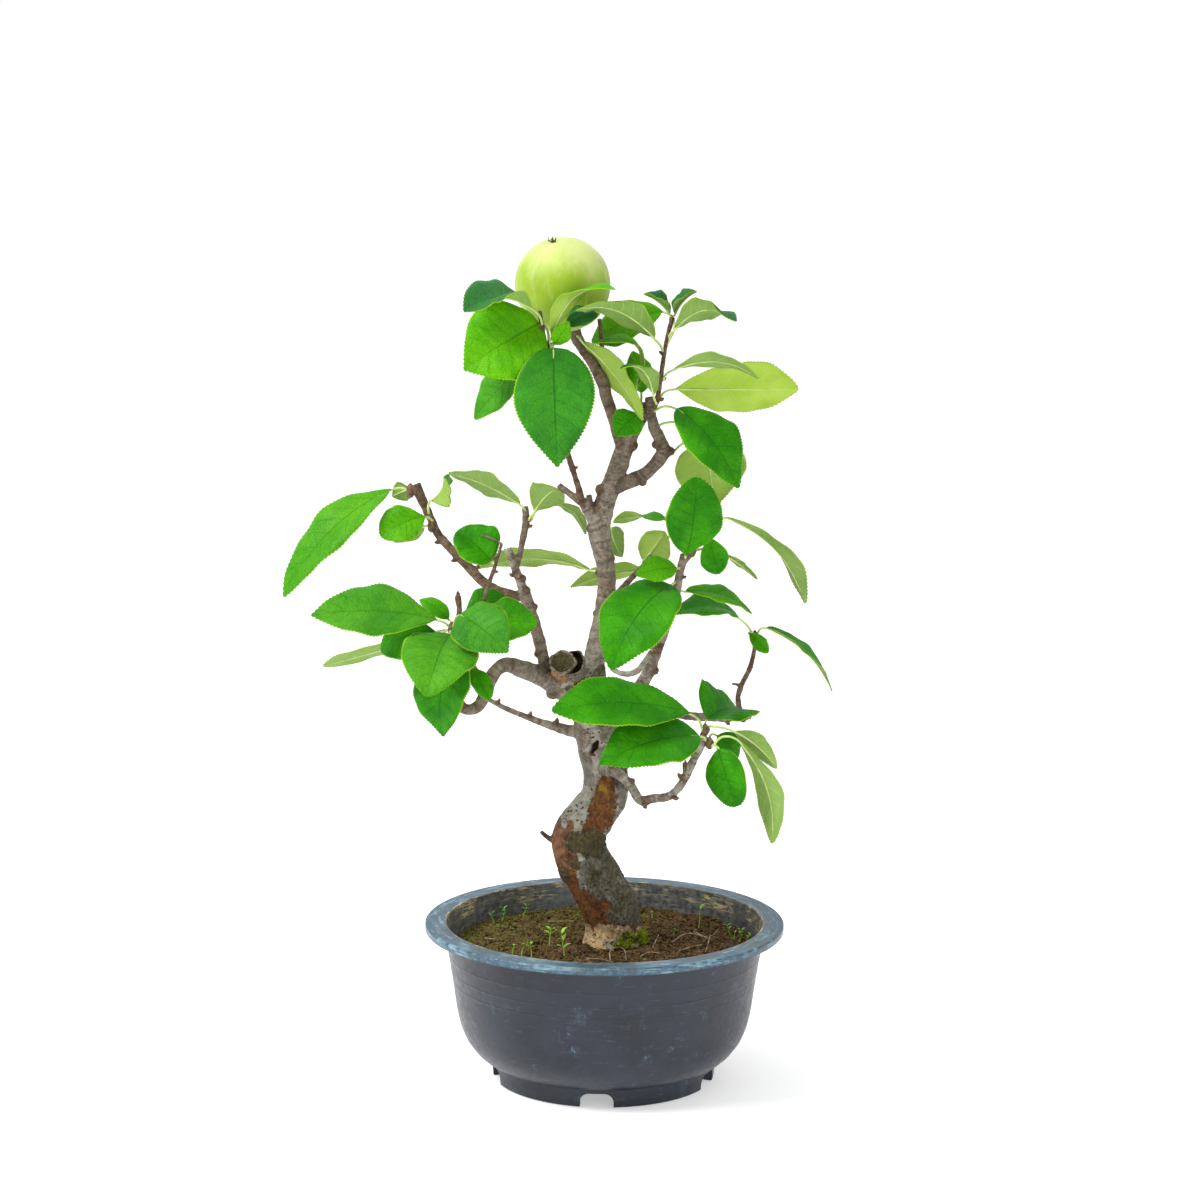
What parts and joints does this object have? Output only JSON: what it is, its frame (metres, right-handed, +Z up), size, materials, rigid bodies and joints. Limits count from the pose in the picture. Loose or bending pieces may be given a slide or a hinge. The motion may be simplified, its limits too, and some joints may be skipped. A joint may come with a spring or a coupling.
{
  "type": "chinese quince bonsai",
  "caption": "Bonsai tree with a bent, patchy trunk, toothed oval leaves and one round green fruit, growing in dark soil in a round plastic training pot that stands on its foot ring.",
  "frame": {"origin": "on the surface that the pot stands on, under the middle of the whole tree's extent; the pot's own axis is 31 mm to +X of it", "axes": "+Z up, front of the tree towards -Y, +X to the right in the front view"},
  "size_m": [0.3696, 0.24, 0.5594],
  "materials": {
    "pot_plastic": "satin dark blue-grey plastic, scuffed lighter on the rim",
    "soil": "dark brown granular bonsai soil with green moss specks",
    "bark": "grey bark that flakes to orange-brown and olive patches",
    "fruit_skin": "smooth waxy unripe quince skin",
    "leaf": "semi-gloss green upper face, pale matte underside, toothed yellow-green edge"
  },
  "bodies": {
    "root": {"pot": "pot_plastic", "soil": "soil", "trunk_and_branches": "bark", "fruit": "fruit_skin", "leaf_beside_fruit": "leaf", "spray_under_fruit": "leaf", "leaf_pair_top": "leaf", "leaf_top_drooping": "leaf", "leaf_over_leader": "leaf", "leaf_upper_right_arched": "leaf", "leaf_upper_right_pale": "leaf", "leaf_upper_right_dark": "leaf", "leaf_right_hanging_back": "leaf", "leaf_right_tucked": "leaf", "leaf_twig_curled": "leaf", "leaf_leader_trailing": "leaf", "leaf_behind_twig": "leaf", "spray_trunk_top": "leaf", "spray_left_tip": "leaf", "spray_left_bright": "leaf", "leaf_left_folded": "leaf", "spray_left_fork": "leaf", "leaf_trunk_back_left": "leaf", "leaf_thin_twig": "leaf", "spray_low_left": "leaf", "leaf_low_left_small": "leaf", "leaf_riser_tip": "leaf", "leaf_riser_large": "leaf", "leaf_riser_small": "leaf", "spray_riser_fork": "leaf", "leaf_riser_back": "leaf", "spray_right_twig": "leaf", "spray_back_twig": "leaf", "leaf_trunk_back": "leaf", "spray_low_right_upper": "leaf", "spray_low_right_lower": "leaf"}
  },
  "joints": []
}
